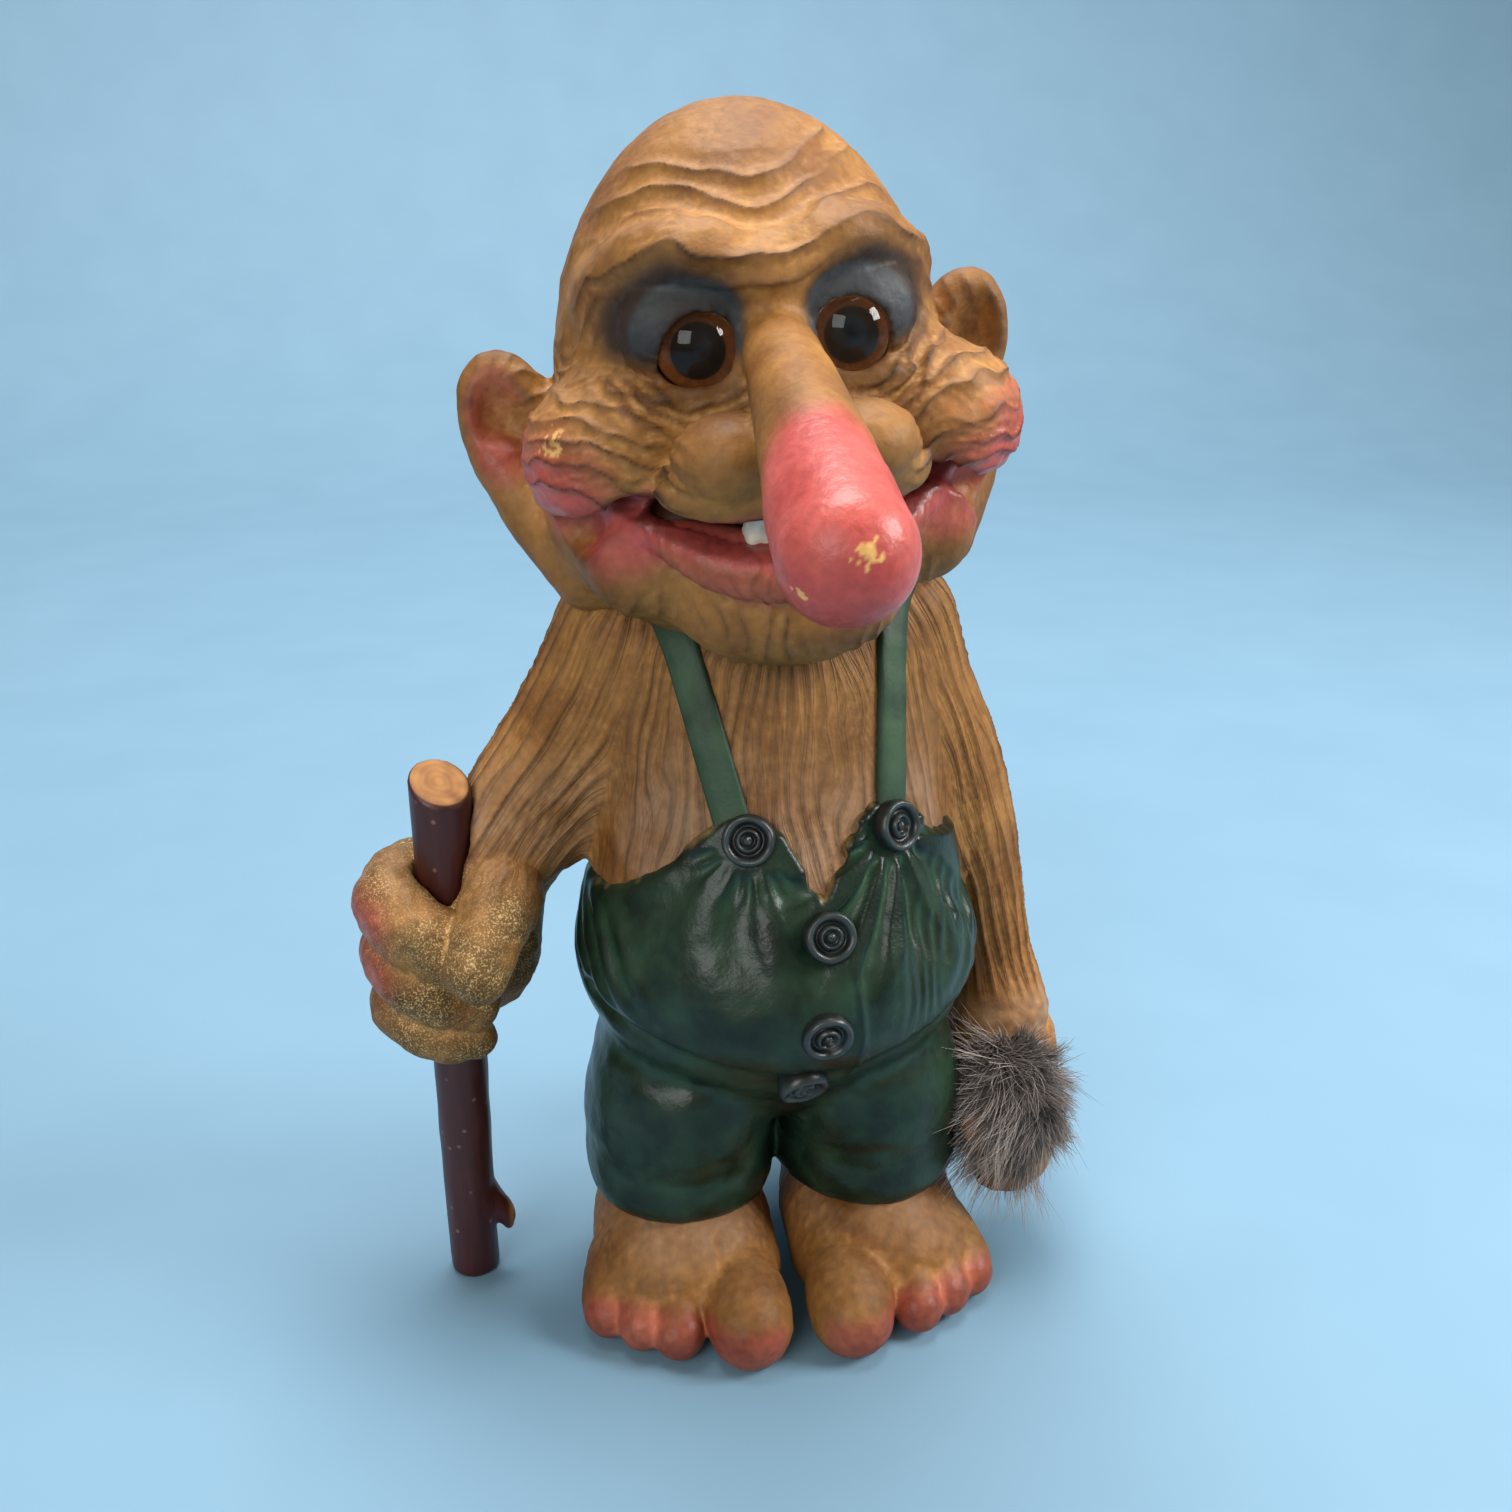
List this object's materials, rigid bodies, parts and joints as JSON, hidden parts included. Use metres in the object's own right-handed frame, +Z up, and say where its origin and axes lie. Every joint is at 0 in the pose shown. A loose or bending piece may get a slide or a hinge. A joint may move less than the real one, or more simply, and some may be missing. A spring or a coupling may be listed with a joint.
{
  "type": "troll figure",
  "caption": "Standing long-nosed troll figure of painted rubber in dungarees, with glass eyes, a fur-tipped tail held in one hand and a twig stick that slides in its fist.",
  "frame": {"origin": "on the floor, midway between the two feet and about midway from heel to toe", "axes": "+Z up through the figure; the figure looks along -Y; +X is the figure's own left"},
  "size_m": [0.1602, 0.1486, 0.24],
  "materials": {
    "painted_skin": "ochre paint with dark wash",
    "green_paint": "semi-gloss dark green paint",
    "strap_paint": "grey-green paint",
    "button_paint": "black paint",
    "eye_glass": "polished",
    "eye_paint": "painted disc",
    "shank_wire": "drawn wire",
    "tooth_paint": "white paint",
    "fur": "loose grey-brown fur",
    "twig": "thin red-brown bark"
  },
  "bodies": {
    "figure": {"trunk": "painted_skin", "head": "painted_skin", "right_arm": "painted_skin", "left_arm": "painted_skin", "right_foot": "painted_skin", "left_foot": "painted_skin", "tail": "painted_skin", "dungarees": "green_paint", "right_strap": "strap_paint", "left_strap": "strap_paint", "right_strap_button": "button_paint", "left_strap_button": "button_paint", "top_front_button": "button_paint", "middle_front_button": "button_paint", "bottom_front_button": "button_paint", "right_eye_glass": "eye_glass", "left_eye_glass": "eye_glass", "right_eye_iris": "eye_paint", "left_eye_iris": "eye_paint", "right_eye_shank": "shank_wire", "left_eye_shank": "shank_wire", "tooth": "tooth_paint", "tail_tuft": "fur"},
    "stick": {"walking_stick": "twig"}
  },
  "joints": [
    {"name": "stick_slide", "type": "slide", "parent": "figure", "child": "stick", "axis": [0, 0, 1], "range_m": [0, 0.04]}
  ]
}
